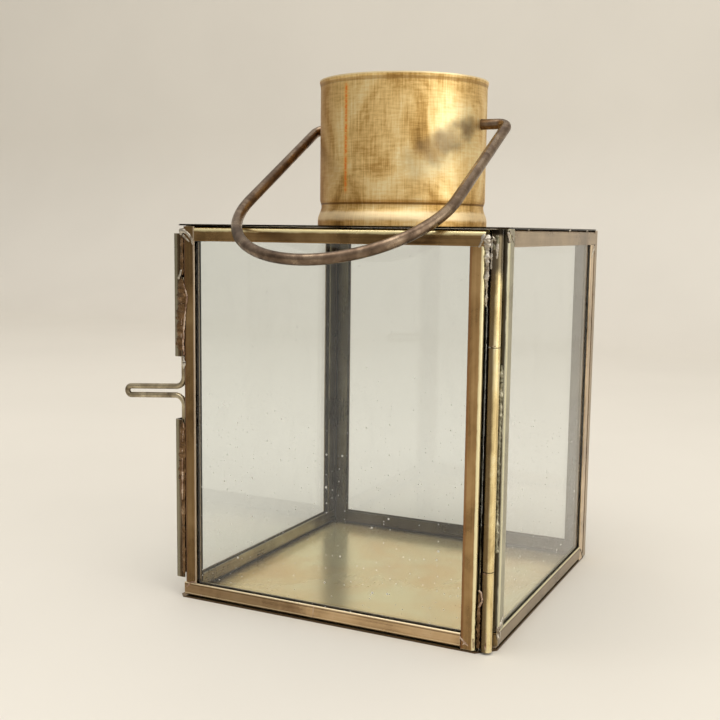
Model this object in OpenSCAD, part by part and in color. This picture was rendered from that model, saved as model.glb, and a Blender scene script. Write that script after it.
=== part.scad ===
// Small glass and brass candle lantern with a hinged door, a round chimney collar and a wire bail.
// Millimetres. +Z is up, the door faces -Y, and the origin is the centre of the base's underside.

/* [Body] */
// Width and depth of the body, over the outer faces of its panels
body_side = 89.5; // [84:0.5:96]
// Clear height between the base plate and the top plate
wall_h = 100.05; // [90:0.05:110]
// Thickness of the base plate and of the top plate
plate_t = 0.4; // [0.3:0.05:0.8]
// Cut across the plates' corner at the hinge
hinge_corner_cut = 4.2; // [3:0.1:5]
// Cut across the plates' front corner away from the hinge
front_corner_cut = 1.2; // [0.5:0.1:2]
// Cut across the plates' two back corners
back_corner_cut = 3; // [1:0.1:3.4]
// Splay of the left panel, outwards towards the door, in degrees
left_splay = 0.5; // [0:0.1:0.8]

/* [Cames and glass] */
// Width of the edge channel's lips on the fixed panels
came_face = 4.2; // [3.8:0.1:4.8]
// Width of the edge channel's lips on the door
door_came_face = 3.8; // [3.5:0.1:4.2]
// Thickness of a panel over both lips
came_t = 3.4; // [3.2:0.1:3.8]
// Thickness of one lip
lip_t = 0.6; // [0.5:0.05:0.7]
// Thickness of the glass
glass_t = 2; // [1.6:0.1:2]

/* [Door] */
// Distance from the middle of the lantern to the door's pull edge
door_pull_edge = 43; // [42.5:0.1:43.2]
// Distance from the middle of the lantern to the door's hinge edge
door_hinge_edge = 40.5; // [40:0.1:40.6]
// Gap between the door and each plate
door_gap = 0.2; // [0.15:0.05:0.4]
// Depth of the door and its gap, in front of the side panels
door_recess = 4.15; // [4:0.05:4.5]

/* [Hinge] */
// Sideways place of the hinge's axis
hinge_x = 42.8; // [42.6:0.1:43]
// Distance of the hinge's axis from the front of the door
hinge_inset = 1.5; // [1.4:0.1:1.7]
// Outer radius of the hinge's tubes
knuckle_r = 1.4; // [1.3:0.05:1.5]
// Radius of the hinge's pin
pin_r = 0.8; // [0.7:0.05:0.9]
// Height at which the lower knuckle ends and the middle one starts
lower_seam_z = 20.2; // [15:0.1:22]
// Height at which the middle knuckle ends and the upper one starts
upper_seam_z = 73.4; // [70:0.1:80]

/* [Collar] */
// Outer radius of the collar
collar_r = 23; // [20:0.1:26]
// Thickness of the collar's wall
collar_wall = 0.7; // [0.5:0.05:1]
// Height of the collar over the top plate
collar_h = 39.35; // [34:0.05:45]
// Height of the narrow neck over the collar's flared foot
neck_z = 5.4; // [4.5:0.1:7]
// How far the foot stands out from the collar
foot_out = 0.6; // [0.4:0.1:1.2]
// Radius of the hole in the top plate under the collar
chimney_hole_r = 20.6; // [18:0.1:21.5]

/* [Bail] */
// Radius of the bail's wire
bail_wire_r = 1.4; // [1.2:0.05:1.6]
// Height of the bail's axis over the top plate
bail_axis_h = 27.45; // [25:0.05:30]
// Half the width of the bail, to the middle of its wire
bail_half_w = 28.6; // [27:0.1:32]
// Straight length of each leg, from the axis to the start of the arch
bail_leg = 42.8; // [38:0.1:46]
// Radius of the bends between the bail's legs and its ends
bail_bend_r = 2.9; // [2.2:0.1:4]
// How far the bail has slid sideways in its holes
bail_slide = 1.8; // [0:0.1:2.5]

/* [Pull loop and catch] */
// Radius of the pull loop's wire
loop_wire_r = 0.75; // [0.6:0.05:0.9]
// Height of the loop where it meets the door
loop_z = 56.4; // [50:0.1:60]
// Distance between the loop's two arms, middle to middle
loop_gap = 2.4; // [2.4:0.1:3]
// Straight length of each arm
loop_arm = 15; // [10:0.1:20]
// Droop of the arms, in degrees
loop_droop = 4; // [0:0.5:10]
// Lowest and highest point of the wire against the door's edge
loop_legs_z = [32.4, 86.9];
// Lowest and highest point of the lower catch lip
low_lip_z = [5.4, 48.9];
// Lowest and highest point of the upper catch lip
high_lip_z = [65.9, 98.4];

/* [Hidden] */
$fn = 48;
eps = 0.01;
past = 1;
half = body_side / 2;
wall_top = plate_t + wall_h;
top_z = wall_top + plate_t;
came_round = 1.2;
web_t = came_round;
glass_inset = web_t + 0.15;
front_y = -half + door_recess;
side_w = half - came_t - front_y;
back_w = body_side - 2 * came_t;
splay_out = side_w * sin(left_splay);
door_w = door_pull_edge + door_hinge_edge;
door_z = plate_t + door_gap;
door_h = wall_h - 2 * door_gap;
hinge_y = -half + hinge_inset;
hinge_gap = 0.2;
bore_r = pin_r + 0.05;
solder_half = 0.8;
body_solder_z = [[24.4, 33.4], [40.4, 69.4]];
door_solder_z = [[door_z, 15.4], [82.4, door_z + door_h]];
foot_flat_h = 1.6;
neck_in = 0.4;
neck_rise = 1.8;
rim_h = 2;
rim_out = 0.3;
foot_steps = 14;
rim_steps = 5;
bail_z = top_z + bail_axis_h;
bail_hole_r = bail_wire_r + 0.1;
bail_end_x = 18.6;
rest_gap = 0.3;
edge_reach = norm([half, bail_axis_h]);
bail_tilt = atan(half / bail_axis_h) + asin((bail_wire_r + rest_gap) / edge_reach);
loop_bend_r = 2.7;
leg_x = -door_pull_edge - loop_wire_r;
leg_y = -half + came_t / 2;
lip_sheet = 0.5;
lip_clear = 0.15;
lip_lap = 4;
lip_seam = 0.4;
lip_round = 0.8;
lip_x = -half - splay_out - lip_clear - lip_sheet;
lip_front_y = leg_y - loop_wire_r - lip_sheet;
lip_back_y = front_y + lip_lap;
lip_edge_x = -door_pull_edge - lip_seam;
catch_solder_z = [[loop_legs_z[0], low_lip_z[1]], [high_lip_z[0], loop_legs_z[1]]];
rod_round = 0.8;

brass = "#8f7645";
dark_brass = "#6f5a3a";
bright_brass = "#b99a55";
wire_brown = "#6a5848";
solder_grey = "#9a948a";
glass_tint = [0.72, 0.78, 0.75, 0.3];

// ---- Edge channel ----

// Section of a channel: its web is at x = 0 and its two lips point along +x
module came_section(face) {
  tip_r = lip_t / 2;
  translate([0, came_round]) square([web_t, came_t - 2 * came_round]);
  intersection() {
    square([web_t, came_t]);
    for (y = [came_round, came_t - came_round]) translate([came_round, y]) circle(came_round);
  }
  for (y = [0, came_t - lip_t]) {
    translate([web_t - eps, y]) square([face - web_t - tip_r + eps, lip_t]);
    translate([face - tip_r, y + tip_r]) circle(tip_r);
  }
}

// A channel that runs up from z = 0, with its slot closed at the upper end
module came(len, face) {
  linear_extrude(len) came_section(face);
  translate([web_t - eps, lip_t - eps, len - web_t])
    cube([face - web_t - lip_t / 2, came_t - 2 * lip_t + 2 * eps, web_t]);
}

// The four channels of a panel w wide and h high, each butted against the next around the panel.
// The panel's outer face is at y = 0, and turn 0 is its left edge, 1 its top, 2 its right, 3 its bottom
module panel_came(turn, w, h, face) {
  starts = [[0, face], [face, h], [w, h - face], [w - face, 0]];
  len = (turn % 2 == 0 ? h : w) - face;
  translate([starts[turn][0], 0, starts[turn][1]]) rotate([0, 90 * turn, 0]) came(len, face);
}

// The glass of a panel w wide and h high
module panel_pane(w, h) {
  translate([glass_inset, (came_t - glass_t) / 2, glass_inset])
    cube([w - 2 * glass_inset, glass_t, h - 2 * glass_inset]);
}

// ---- Places of the panels ----

module on_left() translate([-half, half - came_t, plate_t]) rotate([0, 0, -90 - left_splay]) children();
module on_right() translate([half, front_y, plate_t]) rotate([0, 0, 90]) children();
module on_back() translate([half - came_t, half, plate_t]) rotate([0, 0, 180]) children();
module on_door() translate([-door_pull_edge, -half, door_z]) children();

module left_came(turn) color(dark_brass) on_left() panel_came(turn, side_w, wall_h, came_face);
module right_came(turn) color(brass) on_right() panel_came(turn, side_w, wall_h, came_face);
module back_came(turn) color(dark_brass) on_back() panel_came(turn, back_w, wall_h, came_face);
module door_came(turn) color(brass) on_door() panel_came(turn, door_w, door_h, door_came_face);

module left_pane() color(glass_tint) on_left() panel_pane(side_w, wall_h);
module left_rear_came() left_came(0);
module left_top_came() left_came(1);
module left_front_came() left_came(2);
module left_bottom_came() left_came(3);

module right_pane() color(glass_tint) on_right() panel_pane(side_w, wall_h);
module right_front_came() right_came(0);
module right_top_came() right_came(1);
module right_rear_came() right_came(2);
module right_bottom_came() right_came(3);

module back_pane() color(glass_tint) on_back() panel_pane(back_w, wall_h);
module back_right_came() back_came(0);
module back_top_came() back_came(1);
module back_left_came() back_came(2);
module back_bottom_came() back_came(3);

module door_pane() color(glass_tint) on_door() panel_pane(door_w, door_h);
module door_pull_came() door_came(0);
module door_top_came() door_came(1);
module door_hinge_came() door_came(2);
module door_bottom_came() door_came(3);

// Square rod in the corner between a side panel and the back panel, rounded on its outer edge
module corner_rod(side) {
  inner = half - came_t;
  color(dark_brass) mirror([side < 0 ? 1 : 0, 0, 0]) translate([inner, inner, plate_t])
    linear_extrude(wall_h) {
      square([came_t, came_t - rod_round]);
      square([came_t - rod_round, came_t]);
      translate([came_t - rod_round, came_t - rod_round]) circle(rod_round);
    }
}
module corner_rod_left() corner_rod(-1);
module corner_rod_right() corner_rod(1);

// ---- Plates ----

// Square outline with its corners cut across, most at the hinge
module plate_outline() {
  c = front_corner_cut;
  b = back_corner_cut;
  k = hinge_corner_cut;
  polygon([
    [-half + c, -half], [half - k, -half], [half, -half + k], [half, half - b],
    [half - b, half], [-half + b, half], [-half, half - b], [-half, -half + c]
  ]);
}

module base_plate() color(bright_brass) linear_extrude(plate_t) plate_outline();

module top_plate() color(brass) translate([0, 0, wall_top]) difference() {
  linear_extrude(plate_t) plate_outline();
  translate([0, 0, -past]) cylinder(h = plate_t + 2 * past, r = chimney_hole_r, $fn = 96);
}

// ---- Collar ----

// Goes smoothly from 0 to 1 as t does, and is level outside that range
function ease(t) = (1 - cos(180 * max(0, min(1, t)))) / 2;

// Evenly spaced heights from z0 to z1
function spread(z0, z1, steps) = [for (i = [0:steps]) z0 + (z1 - z0) * i / steps];

// Outer radius of the collar at height z: its flared foot, the neck, the straight wall and the rim
function collar_outer_r(z) =
  let (
    foot = 1 - ease((z - foot_flat_h) / (neck_z - foot_flat_h)),
    neck = 1 - foot - ease((z - neck_z) / neck_rise),
    rim = ease((z - collar_h + rim_h) / rim_h)
  ) collar_r + foot_out * foot - neck_in * neck + rim_out * rim;

// Section of the collar's wall, from its axis outwards and from the top plate up
module collar_section() {
  inner_r = collar_r - collar_wall;
  foot_z = spread(foot_flat_h, neck_z + neck_rise, foot_steps);
  rim_z = spread(collar_h - rim_h, collar_h, rim_steps);
  contour = [for (z = concat([0], foot_z, rim_z)) [collar_outer_r(z), z]];
  polygon(concat([[inner_r, 0]], contour, [[inner_r, collar_h]]));
}

module collar() color(bright_brass) translate([0, 0, top_z]) difference() {
  rotate_extrude($fn = 96) collar_section();
  translate([-collar_r - past, 0, bail_axis_h]) rotate([0, 90, 0])
    cylinder(h = 2 * (collar_r + past), r = bail_hole_r);
}

// ---- Bail ----

// One leg of the bail in its own plane: its end in the collar, the bend and the straight run down
module bail_leg() {
  end_len = bail_half_w - bail_bend_r - bail_end_x;
  translate([bail_end_x, 0, 0]) rotate([0, 90, 0]) cylinder(h = end_len + eps, r = bail_wire_r);
  translate([bail_half_w - bail_bend_r, 0, -bail_bend_r]) rotate([90, 0, 0])
    rotate_extrude(angle = 90) translate([bail_bend_r, 0]) circle(bail_wire_r);
  translate([bail_half_w, 0, -bail_leg]) cylinder(h = bail_leg - bail_bend_r + eps, r = bail_wire_r);
}

// The bail at rest, leaning forwards on the front edge of the top plate
module bail() color(wire_brown) translate([bail_slide, 0, bail_z]) rotate([-bail_tilt, 0, 0]) {
  for (side = [0, 1]) mirror([side, 0, 0]) bail_leg();
  translate([0, 0, -bail_leg]) rotate([90, 0, 0]) rotate([0, 0, 180])
    rotate_extrude(angle = 180, $fn = 96) translate([bail_half_w, 0]) circle(bail_wire_r);
}

// ---- Hinge ----

// A length of hinge tube between two heights
module knuckle(z0, z1) {
  color(bright_brass) translate([hinge_x, hinge_y, z0]) difference() {
    cylinder(h = z1 - z0, r = knuckle_r);
    translate([0, 0, -past]) cylinder(h = z1 - z0 + 2 * past, r = bore_r);
  }
}
module hinge_knuckle_lower() knuckle(door_z, lower_seam_z - hinge_gap / 2);
module hinge_knuckle_middle() knuckle(lower_seam_z + hinge_gap / 2, upper_seam_z - hinge_gap / 2);
module hinge_knuckle_upper() knuckle(upper_seam_z + hinge_gap / 2, door_z + door_h);
module hinge_pin() color(dark_brass) translate([hinge_x, hinge_y, door_z]) cylinder(h = door_h, r = pin_r);

// Solder between the middle knuckle and the front channel of the right panel
module hinge_solder_body() {
  color(solder_grey) for (z = body_solder_z) difference() {
    translate([hinge_x - solder_half, hinge_y, z[0]])
      cube([2 * solder_half, front_y - hinge_y, z[1] - z[0]]);
    translate([hinge_x, hinge_y, z[0] - past]) cylinder(h = z[1] - z[0] + 2 * past, r = knuckle_r);
  }
}

// Solder between the door's own knuckles and its hinge channel
module hinge_solder_door() {
  color(solder_grey) for (z = door_solder_z) difference() {
    translate([door_hinge_edge, hinge_y - solder_half, z[0]])
      cube([hinge_x - door_hinge_edge, 2 * solder_half, z[1] - z[0]]);
    translate([hinge_x, hinge_y, z[0] - past]) cylinder(h = z[1] - z[0] + 2 * past, r = knuckle_r);
  }
}

// ---- Pull loop and catch ----

// Wire run of a given length up from z = 0
module loop_run(len) cylinder(h = len, r = loop_wire_r);

// Wire bend in the plane of x and z, from heading up, at x = loop_bend_r, round to the left
module loop_bend(angle) {
  rotate([90, 0, 0]) rotate_extrude(angle = angle) translate([loop_bend_r, 0]) circle(loop_wire_r);
}

// A hairpin of wire whose two ends turn up and down along the door's pull edge
module pull_loop() {
  bend_h = (loop_gap / 2 + loop_bend_r) / cos(loop_droop);
  arm_shift = bend_h * sin(loop_droop);
  color(wire_brown) translate([leg_x, leg_y, loop_z]) {
    translate([0, 0, bend_h - eps]) loop_run(loop_legs_z[1] - loop_z - bend_h + eps);
    translate([0, 0, loop_legs_z[0] - loop_z]) loop_run(loop_z - bend_h - loop_legs_z[0] + eps);
    translate([-loop_bend_r, 0, bend_h]) mirror([0, 0, 1]) loop_bend(90 - loop_droop);
    translate([-loop_bend_r, 0, -bend_h]) loop_bend(90 + loop_droop);
    translate([-loop_bend_r, 0, 0]) rotate([0, -loop_droop, 0]) {
      for (side = [-1, 1]) translate([side * arm_shift + eps, 0, side * loop_gap / 2])
        rotate([0, -90, 0]) loop_run(loop_arm + side * arm_shift + 2 * eps);
      translate([-loop_arm, 0, 0]) rotate([90, 0, 0]) rotate([0, 0, 90])
        rotate_extrude(angle = 180) translate([loop_gap / 2, 0]) circle(loop_wire_r);
    }
  }
}

// Bent strip on the door's pull edge: its front covers the wire and its side laps the left panel
module catch_lip(z) {
  color(brass) translate([0, 0, z[0]]) linear_extrude(z[1] - z[0]) {
    translate([lip_x + lip_round, lip_front_y]) square([lip_edge_x - lip_x - lip_round, lip_sheet]);
    translate([lip_x, lip_front_y + lip_round]) square([lip_sheet, lip_back_y - lip_front_y - lip_round]);
    translate([lip_x + lip_round, lip_front_y + lip_round]) intersection() {
      difference() {
        circle(lip_round);
        circle(lip_round - lip_sheet);
      }
      translate([-2 * lip_round, -2 * lip_round]) square(2 * lip_round);
    }
  }
}
module catch_lip_lower() catch_lip(low_lip_z);
module catch_lip_upper() catch_lip(high_lip_z);

// Solder between the lips' front edges and the door's pull channel
module catch_solder() {
  color(solder_grey) for (z = catch_solder_z) translate([lip_edge_x, lip_front_y, z[0]])
    cube([-door_pull_edge - lip_edge_x, lip_sheet, z[1] - z[0]]);
}

base_plate();
top_plate();
collar();
left_pane();
left_top_came();
left_bottom_came();
left_front_came();
left_rear_came();
right_pane();
right_top_came();
right_bottom_came();
right_front_came();
right_rear_came();
back_pane();
back_top_came();
back_bottom_came();
back_left_came();
back_right_came();
corner_rod_left();
corner_rod_right();
door_pane();
door_top_came();
door_bottom_came();
door_pull_came();
door_hinge_came();
hinge_pin();
hinge_knuckle_lower();
hinge_knuckle_middle();
hinge_knuckle_upper();
hinge_solder_body();
hinge_solder_door();
catch_lip_lower();
catch_lip_upper();
catch_solder();
pull_loop();
bail();
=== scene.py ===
import math
import random

import bmesh
import bpy
from mathutils import Matrix, Vector, noise


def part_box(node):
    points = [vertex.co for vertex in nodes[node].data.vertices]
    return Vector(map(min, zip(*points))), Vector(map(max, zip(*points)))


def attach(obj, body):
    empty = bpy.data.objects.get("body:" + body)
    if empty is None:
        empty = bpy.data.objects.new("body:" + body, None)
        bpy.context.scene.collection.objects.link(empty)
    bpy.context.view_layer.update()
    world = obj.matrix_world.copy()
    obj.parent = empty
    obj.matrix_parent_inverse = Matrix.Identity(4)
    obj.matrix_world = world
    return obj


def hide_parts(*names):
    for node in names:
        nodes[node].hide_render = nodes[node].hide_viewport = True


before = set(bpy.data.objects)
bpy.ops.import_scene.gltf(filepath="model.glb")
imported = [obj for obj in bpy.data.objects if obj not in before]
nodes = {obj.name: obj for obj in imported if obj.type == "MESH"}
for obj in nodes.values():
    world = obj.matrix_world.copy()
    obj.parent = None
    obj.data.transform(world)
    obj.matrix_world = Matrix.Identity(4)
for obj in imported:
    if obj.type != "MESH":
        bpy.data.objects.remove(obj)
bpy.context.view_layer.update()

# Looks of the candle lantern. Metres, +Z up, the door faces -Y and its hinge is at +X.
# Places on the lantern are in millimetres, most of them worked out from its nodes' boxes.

MM = 0.001
X, Y, Z = 0, 1, 2

# Camera: place in mm, turns in degrees, and lens in mm on a sensor 36 mm wide
CAMERA_PLACE = (120.43, -273.61, 99.88)
CAMERA_YAW = -25.921
CAMERA_PITCH = -7.036
CAMERA_ROLL = 0.691
CAMERA_LENS = 52.74

# Every pane's outer face is farther from the lantern's middle than this, and its inner face nearer, in mm
PANE_OUTSIDE = 43.3
# Turn of the collar's brazed seam round the Z axis, in degrees from +X
SEAM_TURN = -107.2
# Where the stain on the collar starts, beside the bail's right hole, in mm
STAIN_START = (21.0, -8.0, 126.9)

# Tones of each solder, from its dark pits to its bright ridges, as display values
SOLDER_TONES = {
    "silver": [(110, 98, 82), (160, 150, 136), (196, 190, 178), (226, 222, 212)],
    "pink": [(112, 84, 64), (160, 132, 112), (206, 184, 164), (240, 226, 208)],
    "grey": [(84, 80, 64), (122, 118, 98), (158, 152, 130), (204, 198, 178)],
    "brown": [(72, 54, 36), (102, 78, 53), (124, 98, 72), (166, 144, 118)],
    # dark is not solder: it is painted shade for the slit beside the hinge tube
    "dark": [(14, 11, 9), (22, 17, 13), (34, 27, 20), (50, 41, 32)]}


def mm_box(node):
    """A node's lowest and highest corners in millimetres."""
    low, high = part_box(node)
    return Vector(low) / MM, Vector(high) / MM


# ---- Shader helpers ----

def put(tree, socket, value):
    """Links value to the socket if it comes from a node, and otherwise sets it there."""
    if isinstance(value, bpy.types.NodeSocket):
        tree.links.new(value, socket)
    else:
        socket.default_value = value


def add(tree, kind, inputs=None, **settings):
    """A new node with its settings, and its inputs by name or index."""
    n = tree.nodes.new(kind)
    for key, value in settings.items():
        setattr(n, key, value)
    for key, value in (inputs or {}).items():
        put(tree, n.inputs[key], value)
    return n


def calc(tree, operation, a, b=0.0):
    """The result of a Math node."""
    return add(tree, "ShaderNodeMath", {0: a, 1: b}, operation=operation).outputs[0]


def swing(tree, value, amount):
    """A cloud value from 0 to 1, turned into a change of up to half the amount either way."""
    return calc(tree, "MULTIPLY", calc(tree, "SUBTRACT", value, 0.5), amount)


def place(tree):
    """Position on the piece, in the row frame's metres."""
    return add(tree, "ShaderNodeTexCoord").outputs["Object"]


def axes_of(tree, vector):
    """The X, Y and Z of a vector."""
    return add(tree, "ShaderNodeSeparateXYZ", {0: vector}).outputs


def joined(tree, x=0.0, y=0.0, z=0.0):
    """A vector from its X, Y and Z."""
    return add(tree, "ShaderNodeCombineXYZ", {0: x, 1: y, 2: z}).outputs[0]


def stretched(tree, vector, scale):
    """A vector scaled by axis. A pattern on it runs long where the scale is small."""
    return add(tree, "ShaderNodeVectorMath", {0: vector, 1: scale}, operation="MULTIPLY").outputs[0]


def cloud(tree, vector, scale, detail=3.0, roughness=0.5, distortion=0.0):
    """Noise from 0 to 1, with scale in cells per metre."""
    inputs = {
        "Vector": vector, "Scale": scale, "Detail": detail, "Roughness": roughness, "Distortion": distortion}
    return add(tree, "ShaderNodeTexNoise", inputs).outputs["Fac"]


def span(tree, value, low, high, to_low=0.0, to_high=1.0):
    """Maps low to high onto to_low to to_high, smoothly and held at the ends."""
    inputs = {"Value": value, "From Min": low, "From Max": high, "To Min": to_low, "To Max": to_high}
    return add(tree, "ShaderNodeMapRange", inputs, interpolation_type="SMOOTHSTEP").outputs["Result"]


def mixed(tree, factor, a, b):
    """Colour a where the factor is 0, and colour b where it is 1."""
    n = add(tree, "ShaderNodeMix", data_type="RGBA", blend_type="MIX")
    for socket, value in ((n.inputs[0], factor), (n.inputs[6], a), (n.inputs[7], b)):
        put(tree, socket, value)
    return n.outputs[2]


def ramp(tree, value, stops):
    """Colour along a list of (position, colour)."""
    n = add(tree, "ShaderNodeValToRGB", {"Fac": value})
    while len(n.color_ramp.elements) < len(stops):
        n.color_ramp.elements.new(1.0)
    for element, (position, colour) in zip(n.color_ramp.elements, stops):
        element.position = position
        element.color = colour
    return n.outputs["Color"]


def rgb(r, g, b):
    """A linear colour from 0 to 255 display values."""
    linear = [((c / 255 + 0.055) / 1.055) ** 2.4 if c > 10 else c / 255 / 12.92 for c in (r, g, b)]
    return tuple(linear) + (1.0,)


def tones(dark, mid, light, rubbed):
    """The four colours of a brass channel, from display values."""
    return dict(dark=rgb(*dark), mid=rgb(*mid), light=rgb(*light), rubbed=rgb(*rubbed))


def shaded(look, k):
    """The same tones, k times as bright."""
    return {key: tuple(min(1.0, k * c) for c in colour[:3]) + (1.0,) for key, colour in look.items()}


def new_material(name):
    """An empty node material and its tree."""
    mat = bpy.data.materials.new(name)
    mat.use_nodes = True
    mat.node_tree.nodes.clear()
    return mat, mat.node_tree


def metal_end(tree, colour, roughness, height, depth, metallic=1.0):
    """Ends a tree in a metal shader with a bump of the given height map, depth metres deep."""
    bump = add(tree, "ShaderNodeBump", {"Height": height, "Strength": 1.0, "Distance": depth})
    shader = add(tree, "ShaderNodeBsdfPrincipled", {
        "Base Color": colour, "Roughness": roughness, "Metallic": metallic, "Normal": bump.outputs["Normal"]})
    add(tree, "ShaderNodeOutputMaterial", {"Surface": shader.outputs[0]})


def rubbed_edges(tree, radius):
    """1 where an edge is within radius, 0 on flat faces."""
    bevel = add(tree, "ShaderNodeBevel", {"Radius": radius}, samples=4).outputs[0]
    flat = add(tree, "ShaderNodeNewGeometry").outputs["Normal"]
    same = add(tree, "ShaderNodeVectorMath", {0: bevel, 1: flat}, operation="DOT_PRODUCT").outputs["Value"]
    return span(tree, same, 0.985, 0.86)


def banded(tree, base, p, bands):
    """Lays strips of other colours over a colour, mostly painted highlights and painted shade: (axis, middle,
    half width, colour, depth) each, in mm.
    """
    axes = axes_of(tree, p)
    ragged = swing(tree, cloud(tree, p, 420.0, detail=3.0, roughness=0.6), 0.5)
    for axis, middle, half, colour, depth in bands:
        off = calc(tree, "ABSOLUTE", calc(tree, "SUBTRACT", axes[axis], middle * MM))
        uneven = calc(tree, "ADD", calc(tree, "DIVIDE", off, half * MM), ragged)
        base = mixed(tree, span(tree, uneven, 1.0, 0.45, 0.0, depth), base, colour)
    return base


def grime_and_painted_shade(tree, base, reach, most=0.9):
    """Darkens a colour in gaps and corners narrower than reach: painted shade from ambient occlusion, which
    also stands for dirt in them.
    """
    openness = add(tree, "ShaderNodeAmbientOcclusion", {"Distance": reach}, samples=6).outputs["AO"]
    return mixed(tree, span(tree, openness, 0.72, 0.22, 0.0, most), base, rgb(24, 17, 11))


# ---- Materials ----

def drawn_brass(name, along, dark, mid, light, rubbed, bands=(), reach=1.2, outer=None):
    """Brass channel with a brown patina, drawn along one axis, rubbed on its edges, and darkened in its gaps
    by painted shade and dirt.

    reach is how wide, in mm, a gap may be and still take the painted shade.
    With outer = (axis, from mm, to mm, look), its outside takes other, lighter tones than its inside, as
    painted light and shade.
    """
    mat, tree = new_material(name)
    p = place(tree)
    lengthways = tuple(0.02 if axis == along else 1.0 for axis in "xyz")
    lines = cloud(tree, stretched(tree, p, lengthways), 1500.0, detail=2.0)
    patches = cloud(tree, p, 48.0, detail=5.0, roughness=0.6, distortion=0.4)
    grain = cloud(tree, p, 900.0, detail=3.0, roughness=0.6)
    tone = calc(tree, "ADD", patches, swing(tree, lines, 0.26))
    base = ramp(tree, tone, [(0.30, dark), (0.50, mid), (0.72, light)])
    if outer:
        axis, inside, outside, look = outer
        depth = axes_of(tree, p)[axis]
        brass = ramp(tree, tone, [(0.30, look["dark"]), (0.50, look["mid"]), (0.72, look["light"])])
        base = mixed(tree, span(tree, depth, inside * MM, outside * MM), base, brass)
    spots = span(tree, cloud(tree, p, 1500.0, detail=2.0), 0.70, 0.80)
    base = mixed(tree, spots, base, dark)
    base = banded(tree, base, p, bands)
    wear = calc(tree, "MULTIPLY", rubbed_edges(tree, 0.25 * MM), span(tree, grain, 0.30, 0.62, 0.15, 0.5))
    base = mixed(tree, wear, base, rubbed)
    base = grime_and_painted_shade(tree, base, reach * MM)
    rough = calc(tree, "ADD", span(tree, patches, 0.3, 0.7, 0.24, 0.38), swing(tree, lines, 0.10))
    height = calc(tree, "ADD", calc(tree, "MULTIPLY", lines, 0.5), calc(tree, "MULTIPLY", grain, 0.5))
    metal_end(tree, base, rough, height, 0.012 * MM)
    return mat


def collar_brass():
    """Golden brushed brass of the collar, with a stain below the bail's right hole, a brazed seam, painted
    shade on its left and on two rings, and painted highlights on its foot bead and rim.
    """
    mat, tree = new_material("collar_brass")
    p = place(tree)
    x, y, z = axes_of(tree, p)
    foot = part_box("collar")[0].z / MM
    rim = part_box("collar")[1].z / MM
    turn = calc(tree, "ARCTAN2", y, x)
    arc = calc(tree, "MULTIPLY", turn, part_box("collar")[1].x)
    upright = joined(tree, arc, calc(tree, "MULTIPLY", z, 0.04))
    across = joined(tree, calc(tree, "MULTIPLY", arc, 0.12), z)
    brush = cloud(tree, upright, 2400.0, detail=3.0, roughness=0.7)
    hoops = cloud(tree, across, 1700.0, detail=3.0, roughness=0.7)
    squat = stretched(tree, p, (1.0, 1.0, 0.7))
    patches = cloud(tree, squat, 66.0, detail=5.0, roughness=0.58, distortion=0.7)
    tone = calc(tree, "ADD", patches, swing(tree, brush, 0.34))
    tone = calc(tree, "ADD", tone, swing(tree, hoops, 0.26))
    base = ramp(tree, tone, [
        (0.30, rgb(142, 108, 56)),
        (0.42, rgb(194, 157, 94)),
        (0.53, rgb(230, 198, 136)),
        (0.67, rgb(244, 226, 176))])
    # Painted shade: the collar's left side turns darker and more orange.
    base = mixed(tree, span(tree, x, -22 * MM, -8 * MM, 0.82, 0.0), base, rgb(154, 102, 34))
    # Painted highlight across the foot bead, painted shade in the groove above it and in a band under the
    # rim, and painted highlight on the rim's edge
    base = banded(tree, base, p, [
        (Z, foot + 2.7, 1.6, rgb(255, 236, 196), 0.6),
        (Z, foot + 6.0, 0.35, rgb(104, 74, 36), 0.7),
        (Z, rim - 1.4, 0.6, rgb(132, 96, 48), 0.5),
        (Z, rim - 0.1, 0.35, rgb(255, 240, 200), 0.7)])
    base = stained(tree, base, p)
    base = seamed(tree, base, turn, z)
    base = grime_and_painted_shade(tree, base, 1.2 * MM, 0.7)
    rough = calc(tree, "ADD", span(tree, patches, 0.3, 0.7, 0.52, 0.42), swing(tree, brush, 0.16))
    height = calc(tree, "ADD", calc(tree, "MULTIPLY", brush, 0.6), calc(tree, "MULTIPLY", hoops, 0.4))
    metal_end(tree, base, rough, height, 0.03 * MM)
    return mat


def stained(tree, base, p):
    """Brown stain on the collar: it starts at the bail's right hole and drifts down and to the front."""
    puffs = [  # shift from the stain's start, reach in mm, depth
        ((0.0, 0.0, 0.0), 5.0, 0.75),
        ((-2.0, -5.0, -3.0), 5.5, 0.65),
        ((-5.0, -8.5, -6.0), 6.5, 0.55),
        ((-8.5, -10.5, -9.0), 7.0, 0.3)]
    for shift, reach, depth in puffs:
        centre = tuple((Vector(STAIN_START) + Vector(shift)) * MM)
        away = add(tree, "ShaderNodeVectorMath", {0: p, 1: centre}, operation="DISTANCE").outputs["Value"]
        ragged = swing(tree, cloud(tree, p, 210.0, detail=3.0, roughness=0.5), 6.0 * MM)
        edge = calc(tree, "ADD", away, ragged)
        blot = span(tree, edge, reach * MM, 0.25 * reach * MM, 0.0, depth)
        base = mixed(tree, blot, base, rgb(116, 96, 72))
    return base


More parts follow.
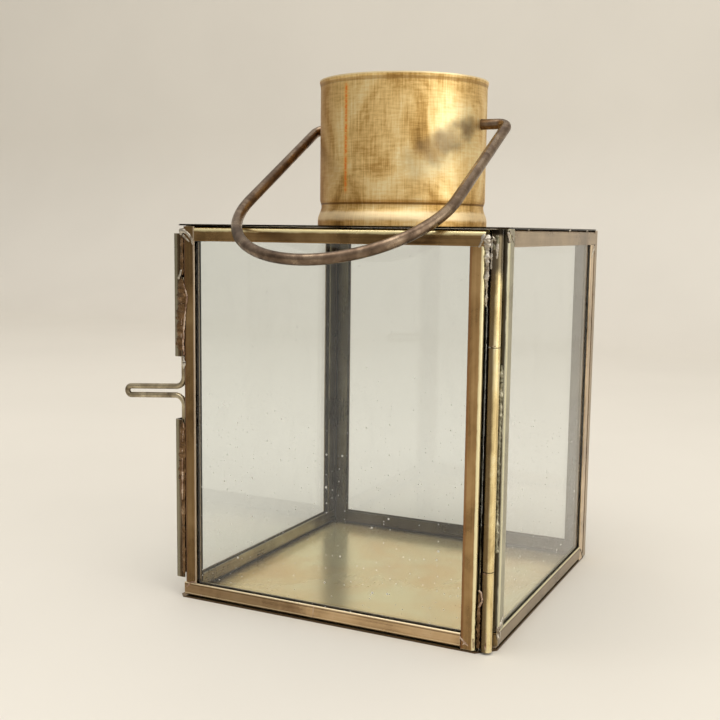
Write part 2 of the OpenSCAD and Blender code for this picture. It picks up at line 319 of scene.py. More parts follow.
def seamed(tree, base, turn, z):
    """Coppery brazed joint that runs up the collar's wall between its foot and its rim."""
    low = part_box("collar")[0].z + 9.0 * MM
    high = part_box("collar")[1].z - 2.5 * MM
    height = joined(tree, z=z)
    wobble = swing(tree, cloud(tree, height, 1500.0, detail=3.0, roughness=0.7), 0.045)
    broken = span(tree, cloud(tree, height, 700.0, detail=4.0, roughness=0.7), 0.40, 0.55, 0.25, 1.0)
    from_seam = calc(tree, "SUBTRACT", turn, math.radians(SEAM_TURN))
    off = calc(tree, "ABSOLUTE", calc(tree, "ADD", from_seam, wobble))
    above_foot = span(tree, z, low - MM, low + MM)
    under_rim = span(tree, z, high + MM, high - MM)
    reach = calc(tree, "MULTIPLY", above_foot, under_rim)
    core = span(tree, off, 0.024, 0.008, 0.0, 0.9)
    copper = calc(tree, "MULTIPLY", core, calc(tree, "MULTIPLY", reach, broken))
    gold = calc(tree, "MULTIPLY", span(tree, off, 0.050, 0.020, 0.0, 0.5), reach)
    base = mixed(tree, gold, base, rgb(240, 190, 96))
    return mixed(tree, copper, base, rgb(236, 132, 58))


def sheet_brass(name, dark, light, edge, roughness, metallic, bands=()):
    """Thin satin brass sheet, cloudy with tarnish and faintly scratched, with painted shade in the edge
    colour on its side faces.
    """
    mat, tree = new_material(name)
    p = place(tree)
    tarnish = cloud(tree, p, 40.0, detail=5.0, roughness=0.6, distortion=0.8)
    scratch = cloud(
        tree, stretched(tree, p, (1.0, 0.08, 1.0)), 700.0, detail=3.0, roughness=0.6, distortion=0.5)
    tone = calc(tree, "ADD", tarnish, swing(tree, scratch, 0.10))
    base = ramp(tree, tone, [(0.30, dark), (0.62, light)])
    # Painted shade: side faces take the edge colour.
    upright = axes_of(tree, add(tree, "ShaderNodeTexCoord").outputs["Normal"])[Z]
    side = span(tree, calc(tree, "ABSOLUTE", upright), 0.8, 0.4)
    base = banded(tree, base, p, bands)
    base = mixed(tree, side, base, edge)
    base = grime_and_painted_shade(tree, base, 1.2 * MM, 0.75)
    rough = calc(tree, "ADD", swing(tree, scratch, 0.08), roughness)
    metal_end(tree, base, rough, calc(tree, "ADD", scratch, tarnish), 0.004 * MM, metallic)
    return mat


def wire_brass(name, dark, mid, light):
    """Drawn wire with a mottled brown patina, rubbed lighter in patches."""
    mat, tree = new_material(name)
    p = place(tree)
    patches = cloud(tree, p, 110.0, detail=5.0, roughness=0.6, distortion=1.0)
    mottle = cloud(tree, p, 620.0, detail=4.0, roughness=0.6)
    tone = calc(tree, "ADD", patches, swing(tree, mottle, 0.40))
    base = ramp(tree, tone, [(0.30, dark), (0.48, mid), (0.68, light)])
    pits = span(tree, cloud(tree, p, 1500.0, detail=2.0), 0.70, 0.78)
    base = mixed(tree, pits, base, light)
    rough = span(tree, tone, 0.3, 0.7, 0.40, 0.24)
    metal_end(tree, base, rough, mottle, 0.03 * MM)
    return mat


def tube_brass():
    """Bright drawn tube of the hinge, with painted shade in brown on its left, dull near its top, and painted
    shade, nearly black, at its top end.
    """
    mat, tree = new_material("tube_brass")
    p = place(tree)
    patches = cloud(
        tree, stretched(tree, p, (1.0, 1.0, 0.4)), 170.0, detail=4.0, roughness=0.6, distortion=0.5)
    lines = cloud(tree, stretched(tree, p, (1.0, 1.0, 0.03)), 2400.0, detail=2.0)
    rings = cloud(tree, stretched(tree, p, (0.05, 0.05, 1.0)), 1100.0, detail=2.0)
    tone = calc(tree, "ADD", patches, swing(tree, lines, 0.3))
    base = ramp(tree, tone, [
        (0.26, rgb(150, 122, 78)),
        (0.48, rgb(232, 212, 158)),
        (0.70, rgb(244, 236, 202))])
    # Painted shade: the left half of the tube turns dark brown.
    shift = calc(tree, "ADD", axes_of(tree, p)[X], swing(tree, patches, 0.6 * MM))
    pin_low, pin_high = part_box("hinge_pin")
    middle = (pin_low.x + pin_high.x) / 2
    base = mixed(tree, span(tree, shift, middle, middle + 0.7 * MM, 0.9, 0.0), base, rgb(86, 66, 42))
    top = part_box("hinge_knuckle_upper")[1].z / MM
    # Dull grey below the top, then painted shade at the top end under the top plate
    base = banded(tree, base, p, [
        (Z, top - 4.0, 9.0, rgb(92, 82, 68), 0.9),
        (Z, top, 1.6, rgb(20, 15, 11), 0.95)])
    base = grime_and_painted_shade(tree, base, 1.2 * MM)
    rough = calc(tree, "ADD", span(tree, tone, 0.3, 0.7, 0.32, 0.20), swing(tree, rings, 0.10))
    metal_end(tree, base, rough, calc(tree, "ADD", lines, rings), 0.008 * MM)
    return mat


def solder_metal(name, shades, gloss=(0.20, 0.42), depth=0.05):
    """Tin solder in four shades from dark to light, with its roughness range and its pits' depth in mm."""
    mat, tree = new_material(name)
    p = place(tree)
    patches = cloud(tree, p, 420.0, detail=5.0, roughness=0.65, distortion=0.6)
    grain = cloud(tree, p, 1800.0, detail=4.0, roughness=0.65)
    base = ramp(tree, patches, list(zip((0.32, 0.46, 0.60, 0.76), shades)))
    base = grime_and_painted_shade(tree, base, 0.8 * MM, 0.6)
    rough = span(tree, grain, 0.3, 0.7, *gloss)
    metal_end(tree, base, rough, grain, depth * MM)
    return mat


def make_solders():
    """Every solder by name. The dark one is painted shade for the slit beside the hinge tube, so it is dull
    and nearly smooth.
    """
    own = {"dark": dict(gloss=(0.7, 0.8), depth=0.01)}
    made = {}
    for name, shades in SOLDER_TONES.items():
        made[name] = solder_metal(f"{name}_solder", [rgb(*shade) for shade in shades], **own.get(name, {}))
    return made


def specks(tree, flat, per_metre, share, radius):
    """1 in round specks of dust: a share of the cells each hold one, up to radius metres in radius."""
    cells = add(tree, "ShaderNodeTexVoronoi", {"Vector": flat, "Scale": per_metre}, voronoi_dimensions="2D")
    chance = add(tree, "ShaderNodeSeparateColor", {0: cells.outputs["Color"]}).outputs[0]
    size = span(tree, chance, 1.0 - share, 1.0, 0.0, radius * per_metre)
    return calc(tree, "LESS_THAN", cells.outputs["Distance"], size)


def dusty_glass(name, across, through):
    """Clear glass with a grey-green tint, faint smears, and white specks of dust on its outside.

    The pane spans the axis across and Z. Its outside is where through, an (axis, sign) pair, points.
    """
    mat, tree = new_material(name)
    p = place(tree)
    axes = axes_of(tree, p)
    flat = joined(tree, axes[across], axes[Z])
    clear = add(tree, "ShaderNodeBsdfPrincipled", {
        "Base Color": (0.915, 0.94, 0.94, 1.0), "Roughness": 0.0, "IOR": 1.5, "Transmission Weight": 1.0})
    lamps = add(tree, "ShaderNodeBsdfTransparent", {"Color": (0.85, 0.88, 0.88, 1.0)})
    shadow = add(tree, "ShaderNodeLightPath").outputs["Is Shadow Ray"]
    glass = add(tree, "ShaderNodeMixShader", {0: shadow, 1: clear.outputs[0], 2: lamps.outputs[0]})

    dusty = span(tree, cloud(tree, p, 40.0, detail=3.0), 0.35, 0.60, 0.35, 1.0)
    low_down = span(tree, axes[Z], 65 * MM, 25 * MM, 0.12, 1.0)
    coarse = specks(tree, flat, 230.0, 0.30, 0.30 * MM)
    fine = calc(tree, "MULTIPLY", specks(tree, flat, 560.0, 0.40, 0.17 * MM), dusty)
    dots = calc(tree, "MULTIPLY", calc(tree, "MAXIMUM", coarse, fine), low_down)
    tall = stretched(tree, p, (1.0, 1.0, 0.45))
    streaks = cloud(tree, tall, 60.0, detail=5.0, roughness=0.6, distortion=1.5)
    smear = span(tree, streaks, 0.50, 0.80, 0.0, 0.06)
    axis, sign = through
    outwards = calc(tree, "MULTIPLY", axes[axis], sign)
    outside = calc(tree, "GREATER_THAN", outwards, PANE_OUTSIDE * MM)
    cover = calc(tree, "MULTIPLY", calc(tree, "MAXIMUM", dots, smear), outside)

    white = rgb(250, 247, 240)
    lit = add(tree, "ShaderNodeBsdfPrincipled", {"Base Color": white, "Roughness": 0.9}).outputs[0]
    glow = add(tree, "ShaderNodeBsdfTranslucent", {"Color": white}).outputs[0]
    dust = add(tree, "ShaderNodeMixShader", {0: 0.5, 1: lit, 2: glow})
    surface = add(tree, "ShaderNodeMixShader", {0: cover, 1: glass.outputs[0], 2: dust.outputs[0]})
    add(tree, "ShaderNodeOutputMaterial", {"Surface": surface.outputs[0]})
    return mat


# ---- Materials on the CAD nodes ----

def dress(names, mat):
    """Puts a material on CAD nodes."""
    for name in names:
        for slot in nodes[name].material_slots:
            slot.material = mat


def came_light_and_shade_bands():
    """Painted highlights and painted shade laid in strips on the channels, with two darker strips besides:
    (axis, middle, half width, colour, depth) each, in mm.
    """
    highlight_cream = rgb(255, 250, 214)
    pale = rgb(240, 222, 186)
    brown = rgb(70, 52, 34)
    black = rgb(22, 16, 11)
    top_high = mm_box("door_top_came")[1]
    hinge_low, hinge_high = mm_box("door_hinge_came")
    pull_low, pull_high = mm_box("door_pull_came")
    foot_low, foot_high = mm_box("door_bottom_came")
    post_low, post_high = mm_box("right_front_came")
    sill_low, sill_high = mm_box("right_bottom_came")
    return {
        # painted highlight along the rounded upper edge of the door's top channel
        "door_top_came": [(Z, top_high.z - 0.45, 1.05, rgb(255, 240, 186), 0.85)],
        "door_hinge_came": [
            # painted shade on the stile's left, painted highlight near its right edge, painted shade on its
            # side face in the gap by the hinge tube
            (X, hinge_low.x + 0.2, 0.7, rgb(128, 84, 54), 0.6),
            (X, hinge_high.x - 0.45, 0.6, rgb(255, 246, 200), 0.8),
            (X, hinge_high.x, 0.12, black, 0.95)],
        "door_pull_came": [
            # painted highlight along the pull stile's inner edge, then a darker strip along its outer edge
            (X, pull_high.x - 0.1, 0.35, rgb(206, 188, 166), 0.6),
            (X, pull_low.x + 0.6, 0.8, rgb(104, 70, 46), 0.5)],
        "door_bottom_came": [
            # darker towards the left end, then painted highlight on the lip's upper edge, painted shade in
            # the line under it and painted highlight on the lower edge
            (X, foot_low.x, 46.0, rgb(92, 72, 50), 0.6),
            (Z, foot_high.z - 0.12, 0.22, pale, 0.85),
            (Z, foot_high.z - 0.55, 0.2, brown, 0.6),
            (Z, foot_low.z + 0.55, 0.5, pale, 0.55)],
        "right_front_came": [
            # painted highlight along the post's front corner edge, painted shade on its front face beside the
            # hinge tube
            (Y, post_low.y + 0.9, 0.45, rgb(240, 236, 204), 0.75),
            (X, post_high.x - 0.8, 0.6, rgb(44, 34, 22), 0.9)],
        "right_bottom_came": [
            # painted highlight on the lip's upper edge, painted shade in the line under it, painted highlight
            # on the lower edge
            (Z, sill_high.z - 0.12, 0.18, highlight_cream, 0.8),
            (Z, sill_high.z - 0.6, 0.2, brown, 0.6),
            (Z, sill_low.z + 0.4, 0.4, rgb(232, 216, 198), 0.6)]}


def dress_cames():
    """Brass for every edge channel, and for the rods in the rear corners, which match them."""
    door = tones((104, 80, 50), (152, 122, 82), (180, 150, 106), (250, 240, 206))
    sill = tones((138, 111, 82), (198, 168, 128), (219, 192, 155), (246, 232, 204))
    body = tones((120, 104, 84), (168, 150, 126), (196, 180, 156), (240, 230, 204))
    post = tones((126, 118, 98), (170, 166, 144), (198, 194, 172), (246, 242, 220))
    inner = tones((54, 49, 36), (88, 82, 64), (118, 111, 90), (156, 146, 122))
    back = tones((52, 45, 33), (80, 72, 54), (106, 98, 76), (150, 138, 112))
    # Lit and shaded copies of these tones: each channel's brass is made brighter or darker to paint the light
    # and shade that fall on it, and the inner and back tones paint the shade inside the lantern.
    lit_and_shaded_looks = {
        "door_top_came": shaded(door, 0.80),
        "door_pull_came": shaded(door, 0.60),
        "door_hinge_came": shaded(door, 1.1),
        "door_bottom_came": sill,
        "right_front_came": post,
        "right_rear_came": shaded(body, 1.55),
        "right_bottom_came": shaded(body, 0.82),
        "right_top_came": shaded(body, 1.06),
        "left_front_came": shaded(inner, 0.15),
        "left_bottom_came": shaded(inner, 2.8),
        "back_bottom_came": back}
    # Painted light: brighter tones on the outside of these two panels than on their inside, which takes the
    # shaded inner tones: (axis, from mm, to mm, look)
    outsides = {
        "left": (X, -43.6, -44.2, shaded(body, 0.9)),
        "back": (Y, 43.5, 44.0, shaded(body, 0.9))}
    upright = {"front", "rear", "left", "right", "pull", "hinge"}
    bands = came_light_and_shade_bands()
    for name in nodes:
        if not name.endswith("_came"):
            continue
        panel, edge, _ = name.split("_")
        along = "z" if edge in upright else ("x" if panel in ("door", "back") else "y")
        reach = 0.5 if name == "door_top_came" else (0.7 if panel == "door" else 1.2)
        dress([name], drawn_brass(
            f"brass_{panel}_{edge}", along, bands=bands.get(name, ()), reach=reach,
            outer=outsides.get(panel), **lit_and_shaded_looks.get(name, inner)))
    dress(["corner_rod_left", "corner_rod_right"], drawn_brass("brass_rod", "z", **body))


def dress_frame():
    """Gives every CAD node its material."""
    dress_cames()

    lips = tones((74, 60, 44), (112, 94, 72), (142, 126, 102), (220, 206, 180))
    lip = mm_box("catch_lip_upper")[0].x
    streaks = [
        (X, lip + 0.9, 0.55, rgb(146, 142, 122), 0.75),
        (X, lip + 2.0, 0.35, rgb(52, 40, 28), 0.7)]
    lip_brass = drawn_brass("brass_lip", "z", bands=streaks, reach=0.8, **shaded(lips, 0.8))
    dress(["catch_lip_lower", "catch_lip_upper"], lip_brass)

    reach = mm_box("base_plate")[1].x
    # Painted shade and painted reflection of the channels in strips along the floor plate's edges
    painted_rim_shade = [(axis, side * reach, 7.0, rgb(112, 88, 58), 0.85) for axis in (X, Y) for side in (-1, 1)]
    floor = sheet_brass(
        "floor_sheet", rgb(248, 210, 146), rgb(255, 241, 190), rgb(92, 72, 48), 0.22, 0.68, painted_rim_shade)
    roof = sheet_brass("top_sheet", rgb(128, 104, 68), rgb(182, 154, 108), rgb(34, 26, 18), 0.28, 1.0)
    dress(["base_plate"], floor)
    dress(["top_plate"], roof)
    dress(["collar"], collar_brass())

    dress(["bail"], wire_brass("wire_bail", rgb(80, 65, 53), rgb(113, 95, 79), rgb(150, 131, 110)))
    dress(["pull_loop"], wire_brass("wire_pull", rgb(102, 90, 71), rgb(156, 143, 118), rgb(194, 182, 154)))
    dress(["hinge_pin", "hinge_knuckle_lower", "hinge_knuckle_middle", "hinge_knuckle_upper"], tube_brass())
    dress(["hinge_solder_body", "hinge_solder_door", "catch_solder"], solders["silver"])

    panes = {"door": (X, (Y, -1)), "back": (X, (Y, 1)), "left": (Y, (X, -1)), "right": (Y, (X, 1))}
    for panel, (across, through) in panes.items():
        dress([f"{panel}_pane"], dusty_glass(f"glass_{panel}", across, through))


# ---- Solder ----

def along_run(run, step):
    """Points and radii at even steps along a run of (x, y, z, radius) stops."""
    out = []
    for a, b in zip(run, run[1:]):
        start, end = Vector(a[:3]), Vector(b[:3])
        count = max(2, round((end - start).length / step))
        for i in range(count):
            t = i / count
            out.append((start.lerp(end, t), a[3] + (b[3] - a[3]) * t))
    out.append((Vector(run[-1][:3]), run[-1][3]))
    return out


def bead(bm, run, rough, squash):
    """Adds one lumpy bead of solder to bm: a closed tube with round ends along a run in millimetres."""
    sides = 14
    step = 0.16
    stops = along_run(run, step)
    reach = [0.0]
    for (a, _), (b, _) in zip(stops, stops[1:]):
        reach.append(reach[-1] + (b - a).length)
    rings = []
    for i, (middle, radius) in enumerate(stops):
        ahead = stops[min(i + 1, len(stops) - 1)][0] - stops[max(i - 1, 0)][0]
        turn = ahead.to_track_quat("Z", "Y")
        from_end = min(reach[i], reach[-1] - reach[i]) + 0.02
        end = math.sqrt(max(0.0, 1.0 - (1.0 - min(1.0, from_end / radius)) ** 2))
        swell = 1.0 + rough * noise.noise(middle * 0.75)
        ring = []
        for k in range(sides):
            a = 2 * math.pi * k / sides
            out = (turn @ Vector((math.cos(a), math.sin(a), 0.0))) * squash
            lump = 1.0 + 0.6 * rough * noise.noise((middle + out * radius) * 1.9)
            ring.append(bm.verts.new((middle + out * (radius * end * swell * lump)) * MM))
        rings.append(ring)
    for a, b in zip(rings, rings[1:]):
        for k in range(sides):
            bm.faces.new((a[k], a[(k + 1) % sides], b[(k + 1) % sides], b[k]))
    bm.faces.new(rings[0][::-1])
    bm.faces.new(rings[-1])


def solder(name, body, kind, runs, stands_for=(), rough=0.55, squash=(1.0, 1.0, 1.0)):
    """One piece of solder beads that rides on a body, flattened by squash along x, y and z.

    Each run is a list of (x, y, z, radius) stops in millimetres.
    """
    bm = bmesh.new()
    for run in runs:
        bead(bm, run, rough, Vector(squash))
    mesh = bpy.data.meshes.new(name)
    bm.to_mesh(mesh)
    bm.free()
    for face in mesh.polygons:
        face.use_smooth = True
    mesh.materials.append(solders[kind])
    piece = bpy.data.objects.new(name, mesh)
    bpy.context.scene.collection.objects.link(piece)
    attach(piece, body)
    if stands_for:
        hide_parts(*stands_for)


# Squash of solder on an upright face of the door: about half as deep as it is wide
FLAT = (1.0, 0.55, 1.0)


def solder_door_corners():
    """Solder on the corners of the door's face."""
    left, face, _ = mm_box("door_pull_came")[0]
    right = mm_box("door_hinge_came")[1].x
    low = mm_box("door_bottom_came")[0].z
    high = mm_box("door_top_came")[1].z
    solder("door_corner_solder", "door", "silver", [
        # over the top left corner and down its mitre
        [(left - 0.7, face + 0.6, high - 2.4, 0.5), (left - 0.4, face + 0.4, high - 1.2, 0.75),
         (left + 0.6, face + 0.1, high - 1.2, 0.55), (left + 1.9, face, high - 1.9, 0.34),
         (left + 2.9, face, high - 3.0, 0.30), (left + 3.5, face, high - 4.9, 0.2)],
        [(left + 0.3, face, high - 2.2, 0.34), (left + 1.3, face, high - 3.1, 0.2),
         (left + 2.4, face, high - 4.0, 0.14)],
        # top right corner
        [(right - 1.6, face + 0.1, high - 4.1, 0.24), (right - 0.7, face + 0.1, high - 2.2, 0.4),
         (right - 0.4, face + 0.3, high - 0.8, 0.6)]], squash=FLAT)
    solder("door_mitre_solder", "door", "pink", [
        # bottom left corner, and a drop beside it
        [(left + 0.1, face + 0.2, low + 1.0, 0.22), (left + 1.0, face + 0.1, low + 2.9, 0.30),
         (left + 2.2, face + 0.05, low + 4.0, 0.26), (left + 3.5, face, low + 4.2, 0.18)],
        [(left + 5.0, face, low + 0.7, 0.24), (left + 5.5, face, low + 0.8, 0.2)],
        # a thin ridge across the middle of the bottom channel
        [(left + 39.6, face - 0.02, low + 0.5, 0.11), (left + 39.8, face - 0.02, low + 3.4, 0.11)],
        # bottom right corner
        [(right - 4.0, face + 0.1, low + 2.9, 0.16), (right - 2.9, face + 0.05, low + 1.9, 0.3),
         (right - 1.0, face + 0.2, low + 0.5, 0.2)],
        [(right - 3.4, face + 0.1, low + 0.7, 0.16), (right - 2.6, face + 0.05, low + 1.6, 0.24)],
        [(right - 0.5, face + 0.2, low + 0.6, 0.16), (right - 0.6, face + 0.15, low + 3.0, 0.2)]],
        squash=FLAT)


def solder_catch():
    """Solder between the door's pull edge and the two catch lips."""
    left, front, _ = mm_box("door_pull_came")[0]
    upper_low, upper_high = mm_box("catch_lip_upper")
    lower_low, lower_high = mm_box("catch_lip_lower")
    face = upper_low.y
    up = upper_low.z
    down = lower_high.z
    solder("catch_seam_solder", "door", "brown", [
        # beside the upper lip: narrow at its top, then a broad blot
        [(left - 0.5, face + 0.2, upper_high.z - 0.6, 0.5),
         (left - 0.5, face + 0.15, upper_high.z - 11.0, 0.6)],
        [(left - 0.9, face + 0.2, up + 20.9, 0.5), (left - 0.5, face + 0.05, up + 18.1, 1.3),
         (left - 0.1, face, up + 14.1, 1.7), (left - 0.7, face + 0.05, up + 9.1, 1.5),
         (left - 1.0, face + 0.1, up + 1.5, 1.2)],
        [(left - 1.9, face + 0.3, up + 19.1, 0.7), (left - 2.0, face + 0.3, up + 1.0, 0.8)],
        # beside the lower lip, thinning downwards
        [(left - 0.5, face, down - 0.7, 0.8), (left - 0.6, face, down - 7.7, 1.1),
         (left - 0.8, face + 0.1, down - 15.9, 1.1), (left - 0.6, face + 0.1, down - 21.9, 0.8),
         (left - 0.5, face, down - 28.9, 0.6), (left - 0.5, face, lower_low.z + 0.8, 0.5)]],
        ["catch_solder"], rough=0.4, squash=(1.0, 0.4, 1.0))
    solder("catch_ridge_solder", "door", "pink", [
        # the blot's raised right edge, and a ridge on the blot
        [(left + 0.5, front, up + 19.3, 0.16), (left + 1.6, front - 0.1, up + 16.1, 0.26),
         (left + 1.1, front - 0.15, up + 12.5, 0.2), (left + 0.5, front - 0.15, up + 7.5, 0.26),
         (left + 0.2, front - 0.1, up + 3.7, 0.22), (left + 0.4, front, up + 0.4, 0.26)],
        [(left - 0.4, face - 0.35, up + 14.6, 0.2), (left - 0.3, face - 0.4, up + 11.1, 0.24),
         (left - 0.5, face - 0.35, up + 5.1, 0.16)],
        # a ridge beside the lower lip
        [(left - 0.1, face - 0.2, down - 0.8, 0.18), (left - 0.5, face - 0.3, down - 7.9, 0.26),
         (left - 0.5, face - 0.3, down - 14.9, 0.2), (left - 0.7, face - 0.2, down - 21.9, 0.24)]],
        rough=0.8, squash=FLAT)
    solder("catch_bright_solder", "door", "silver", [
        # a bright flake above the blot, and a drop that holds the pull's upper wire
        [(left - 1.5, face - 0.1, up + 20.5, 0.34), (left - 0.9, face - 0.2, up + 21.5, 0.5),
         (left - 0.4, face - 0.1, up + 23.0, 0.2)],
        [(left - 0.1, face - 0.1, up + 0.3, 0.3), (left + 0.4, front, up - 1.3, 0.5),
         (left + 0.1, face - 0.1, up - 3.3, 0.22)]],
        rough=0.8, squash=(1.0, 0.7, 1.0))


def solder_door_hinge():
    """Solder on the upper and lower knuckles of the hinge, which swing with the door, and painted shade in
    the slit beside them.
    """
    upper_low, upper_high = mm_box("hinge_knuckle_upper")
    lower_low, lower_high = mm_box("hinge_knuckle_lower")
    x = (upper_low.x + upper_high.x) / 2
    y = (upper_low.y + upper_high.y) / 2
    top = upper_high.z
    seam = upper_low.z
    foot = lower_low.z
    knuckle_top = lower_high.z
    solder("hinge_cap_solder", "door", "grey", [
        # blobs on the tube's top end
        [(x - 0.6, y - 0.95, top - 0.9, 0.5), (x + 0.3, y - 1.05, top - 1.6, 0.5),
         (x + 0.5, y - 1.0, top - 3.4, 0.42)],
        [(x - 0.4, y - 1.1, top - 1.6, 0.4), (x - 0.2, y - 1.1, top - 4.6, 0.34)]], rough=0.8)
    solder("hinge_top_solder", "door", "silver", [
        # down the joint between the tube and the door
        [(x - 1.9, y - 0.7, top - 0.9, 0.75), (x - 1.9, y - 0.8, top - 4.5, 0.75),
         (x - 1.95, y - 0.7, top - 10.0, 0.6), (x - 2.0, y - 0.6, top - 15.5, 0.36),
         (x - 2.05, y - 0.5, top - 17.6, 0.24)],
        # over the front of the tube, and two runs down it
        [(x - 0.9, y - 1.0, top - 1.4, 0.34), (x, y - 1.2, top - 2.4, 0.4),
         (x + 0.7, y - 0.9, top - 1.2, 0.36)],
        [(x + 0.5, y - 1.15, top - 2.2, 0.34), (x + 0.4, y - 1.15, top - 6.6, 0.26)],
        [(x - 0.9, y - 1.0, top - 2.0, 0.4), (x - 0.9, y - 1.0, top - 9.0, 0.34)]],
        ["hinge_solder_door"], rough=0.7)
    solder("hinge_foot_solder", "door", "brown", [
        [(x - 1.75, y - 0.7, foot + 0.5, 0.5), (x - 1.75, y - 0.8, foot + 7.0, 0.52),
         (x - 1.7, y - 0.8, foot + 12.4, 0.45), (x - 1.5, y - 0.9, foot + 14.6, 0.3)]])
    solder("hinge_drip_solder", "door", "pink", [
        # a hooked drip above the foot
        [(x - 1.9, y - 0.9, foot + 15.0, 0.16), (x - 1.2, y - 1.05, foot + 14.4, 0.3),
         (x - 0.8, y - 1.2, foot + 12.6, 0.3), (x - 1.3, y - 1.1, foot + 11.6, 0.3),
         (x - 1.8, y - 1.0, foot + 10.6, 0.2)],
        # lips round the front of the tube at its lower and its upper seam
        [(x - 0.9, y - 1.05, knuckle_top - 0.3, 0.14), (x - 0.3, y - 1.3, knuckle_top - 0.25, 0.16),
         (x + 0.7, y - 1.15, knuckle_top - 0.35, 0.18)],
        [(x - 0.9, y - 1.05, seam + 0.3, 0.12), (x, y - 1.33, seam + 0.3, 0.14),
         (x + 0.7, y - 1.18, seam + 0.3, 0.12)],
        # a run up from the tube's lower end
        [(x + 0.2, y - 1.25, foot + 0.8, 0.24), (x + 0.4, y - 1.25, foot + 5.0, 0.16)]], rough=0.8)
    # Painted shade: a dark filling of the slit between the door's hinge stile and the tube
    solder("hinge_shade_door", "door", "dark", [
        [(x - 1.68, y + 0.1, seam + 0.4, 0.3), (x - 1.68, y + 0.1, top - 0.6, 0.3)],
        [(x - 1.68, y + 0.1, foot + 0.3, 0.3), (x - 1.68, y + 0.1, knuckle_top - 0.3, 0.3)]], rough=0.15)


def solder_body_hinge():
    """Solder beside the middle knuckle, and painted shade: a dark filling of the slit left of the tube."""
    low, high = mm_box("hinge_knuckle_middle")
    x = (low.x + high.x) / 2
    y = (low.y + high.y) / 2
    side = x + 1.35
    back = y + 1.5
    solder("hinge_side_solder", "lantern_body", "grey", [
        [(side - 0.1, back, high.z - 4.0, 0.5), (side, back - 0.1, high.z - 8.0, 0.62),
         (side, back - 0.1, high.z - 16.0, 0.52), (side - 0.1, back, high.z - 24.0, 0.36),
         (side - 0.1, back, high.z - 29.0, 0.5), (side - 0.1, back, high.z - 36.0, 0.34),
         (side, back - 0.1, low.z + 9.0, 0.44), (side, back - 0.2, low.z + 4.2, 0.58)]],
        ["hinge_solder_body"])
    floor = mm_box("base_plate")[0].z
    roof = mm_box("top_plate")[0].z
    # Painted shade filling the slit left of the tube
    solder("hinge_shade_body", "lantern_body", "dark", [
        [(x - 1.89, y + 0.65, floor + 0.5, 0.25), (x - 1.89, y + 0.65, roof - 0.3, 0.25)],
        [(x - 1.68, y + 0.1, low.z + 0.3, 0.3), (x - 1.68, y + 0.1, high.z - 0.3, 0.3)]], rough=0.1)


def corner_ridges(panel, edge):
    """Two short ridges of solder across the joints at the top and bottom of one upright channel."""
    low, high = mm_box(f"{panel}_{edge}_came")
    ridges = []
    for end, way in ((low.z, 1.0), (high.z, -1.0)):
        size = random.uniform(0.22, 0.34)
        z0 = end + way * 0.4
        z1 = end + way * random.uniform(3.0, 4.4)
        if panel == "back":
            ends = (low.x + 0.4, high.x - 0.4) if edge == "left" else (high.x - 0.4, low.x + 0.4)
            face = high.y
            ridges.append([(ends[0], face, z0, size), (ends[1], face, z1, 0.7 * size)])
        else:
            ends = (low.y + 0.4, high.y - 0.4) if edge == "front" else (high.y - 0.4, low.y + 0.4)
            face = high.x if panel == "right" else low.x + 0.1
            ridges.append([(face, ends[0], z0, size), (face, ends[1], z1, 0.7 * size)])
    return ridges


def solder_panels():
    """Solder on the corners of the three fixed panels, and along the right panel's top and front."""
    random.seed(7)
    runs = []
    uprights = {"right": ("front", "rear"), "left": ("front", "rear"), "back": ("left", "right")}
    for panel, edges in uprights.items():
        for edge in edges:
            runs += corner_ridges(panel, edge)
    wall = mm_box("right_top_came")[1].x
    corner = mm_box("right_front_came")[0].y
    foot = mm_box("right_bottom_came")[0].z
    roof = mm_box("top_plate")[0].z
    for at in (-26.0, 12.0, 31.0):
        length = random.uniform(1.0, 2.6)
        runs.append([(wall - 0.2, at, roof - 0.1, 0.26), (wall - 0.2, at + length, roof, 0.2)])
    runs += [
        # front corner of the right panel, top and bottom
        [(wall - 0.5, corner + 0.1, roof - 0.6, 0.5), (wall - 0.1, corner + 0.6, roof - 3.2, 0.34)],
        [(wall - 0.3, corner + 0.1, foot + 5.6, 0.28), (wall - 0.1, corner + 0.3, foot + 2.8, 0.42),
         (wall - 0.2, corner + 0.8, foot + 0.5, 0.3)],
        [(wall, corner + 0.9, foot + 1.2, 0.24), (wall, corner + 2.0, foot + 4.0, 0.16)]]
    solder("panel_corner_solder", "lantern_body", "silver", runs, rough=0.7)


# ---- Stage, light and camera ----

def plain_material(name, colour, roughness):
    """A matt colour with very faint clouds."""
    mat, tree = new_material(name)
    darker = tuple(0.97 * c for c in colour[:3]) + (1.0,)
    tone = ramp(tree, cloud(tree, place(tree), 9.0, detail=3.0), [(0.3, colour), (0.7, darker)])
    shader = add(tree, "ShaderNodeBsdfPrincipled", {"Base Color": tone, "Roughness": roughness})
    add(tree, "ShaderNodeOutputMaterial", {"Surface": shader.outputs[0]})
    return mat


def make_stage():
    """Pale floor that curves up into a pale wall behind the lantern."""
    width = 30.0
    front = -15.0
    back = 0.62  # where the curve starts
    curve = 0.22  # radius of the curve
    top = 1.2
    steps = 16
    profile = [(front, 0.0), (back, 0.0)]
    for i in range(1, steps + 1):
        turn = math.pi / 2 * i / steps
        profile.append((back + curve * math.sin(turn), curve * (1 - math.cos(turn))))
    profile.append((back + curve, top))
    bm = bmesh.new()
    rows = [[bm.verts.new((side * width / 2, y, z)) for side in (-1, 1)] for y, z in profile]
    for a, b in zip(rows, rows[1:]):
        bm.faces.new((a[0], a[1], b[1], b[0]))
    mesh = bpy.data.meshes.new("stage")
    bm.to_mesh(mesh)
    bm.free()
    for face in mesh.polygons:
        face.use_smooth = True
    stage = bpy.data.objects.new("stage", mesh)
    mesh.materials.append(plain_material("stage_paper", (0.735, 0.70, 0.635, 1.0), 0.6))
    bpy.context.scene.collection.objects.link(stage)


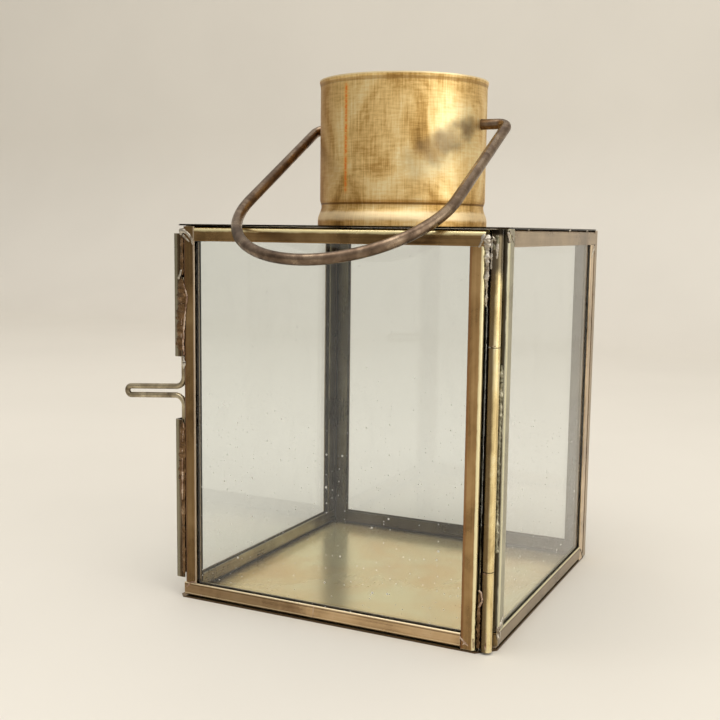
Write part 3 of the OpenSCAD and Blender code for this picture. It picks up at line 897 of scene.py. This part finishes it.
def area_light(name, place_at, width, height, watts, colour):
    """A soft box that faces the middle of the lantern."""
    data = bpy.data.lights.new(name, "AREA")
    data.shape = "RECTANGLE"
    data.size = width
    data.size_y = height
    data.energy = watts
    data.color = colour
    lamp = bpy.data.objects.new(name, data)
    middle = Vector((0.0, 0.0, 0.07))
    lamp.location = place_at
    lamp.rotation_euler = (middle - Vector(place_at)).to_track_quat("-Z", "Y").to_euler()
    bpy.context.scene.collection.objects.link(lamp)


def make_light():
    """A soft box at the hinge side, one above, and pale surroundings, brighter upwards and to the right."""
    area_light("side_box", (0.85, -0.20, 0.28), 0.80, 0.90, 3.2, (1.0, 0.98, 0.92))
    area_light("top_box", (-0.10, -0.25, 1.05), 0.90, 0.70, 4.6, (1.0, 0.98, 0.95))
    world = bpy.data.worlds.new("studio")
    world.use_nodes = True
    tree = world.node_tree
    sky = tree.nodes["Background"]
    sky.inputs["Color"].default_value = (0.88, 0.85, 0.80, 1.0)
    way = axes_of(tree, add(tree, "ShaderNodeTexCoord").outputs["Generated"])
    upwards = span(tree, way[Z], 0.0, 0.75, 0.70, 1.28)
    sideways = span(tree, way[X], -0.9, 0.4, 0.55, 1.0)
    put(tree, sky.inputs["Strength"], calc(tree, "MULTIPLY", upwards, sideways))
    bpy.context.scene.world = world


def make_camera():
    """Stands right of the door, just under the top plate's height, and looks slightly down."""
    data = bpy.data.cameras.new("camera")
    data.sensor_width = 36.0
    data.lens = CAMERA_LENS
    data.clip_start = 0.01
    yaw, pitch, roll = (math.radians(a) for a in (CAMERA_YAW, CAMERA_PITCH, CAMERA_ROLL))
    ahead = Vector((math.sin(yaw) * math.cos(pitch), math.cos(yaw) * math.cos(pitch), math.sin(pitch)))
    level = Vector((math.cos(yaw), -math.sin(yaw), 0.0))
    plumb = level.cross(ahead)
    right = math.cos(roll) * level + math.sin(roll) * plumb
    up = math.cos(roll) * plumb - math.sin(roll) * level
    camera = bpy.data.objects.new("camera", data)
    turned = Matrix((right, up, -ahead)).transposed().to_4x4()
    camera.matrix_world = Matrix.Translation([c * MM for c in CAMERA_PLACE]) @ turned
    bpy.context.scene.collection.objects.link(camera)
    bpy.context.scene.camera = camera


make_camera()
make_light()
make_stage()
solders = make_solders()
dress_frame()
solder_door_corners()
solder_catch()
solder_door_hinge()
solder_body_hinge()
solder_panels()

bpy.context.scene.view_settings.view_transform = "Standard"
